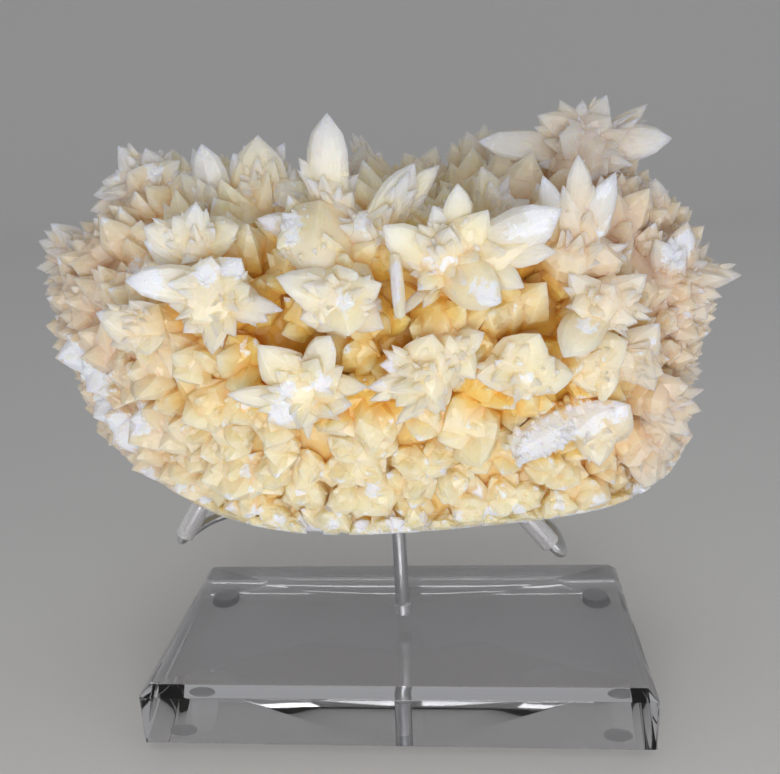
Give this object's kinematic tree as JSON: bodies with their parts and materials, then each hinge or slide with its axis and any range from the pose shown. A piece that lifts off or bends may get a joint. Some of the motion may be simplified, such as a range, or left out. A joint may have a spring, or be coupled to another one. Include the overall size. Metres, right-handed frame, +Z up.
{
  "type": "calcite crystal cluster on stand",
  "caption": "Honey calcite cluster: a flat-cut loaf covered in sprays of dogtooth crystals, held by sleeved steel arms above a clear bevelled block.",
  "frame": {"origin": "centre of the bounding box at its lowest level, on the surface the bumpers stand on", "axes": "+Z up, +X to the viewer's right along the longest side, the viewer stands on the -Y side"},
  "size_m": [0.2176, 0.1156, 0.1835],
  "materials": {
    "calcite": "translucent honey calcite with pale, glassy crystal faces and sugary white patches",
    "acrylic": "clear polished acrylic, bevelled top edge",
    "clear_bumper": "soft clear bumper, slightly cloudy",
    "steel": "bare polished rod",
    "clear_sleeve": "clear soft tube"
  },
  "bodies": {
    "root": {"calcite_cluster": "calcite", "acrylic_base": "acrylic", "bumper_front_left": "clear_bumper", "bumper_front_right": "clear_bumper", "bumper_back_left": "clear_bumper", "bumper_back_right": "clear_bumper", "post": "steel", "hub": "steel", "arm_left": "steel", "arm_right": "steel", "arm_back": "steel", "sleeve_left": "clear_sleeve", "sleeve_right": "clear_sleeve", "sleeve_back": "clear_sleeve"}
  },
  "joints": []
}
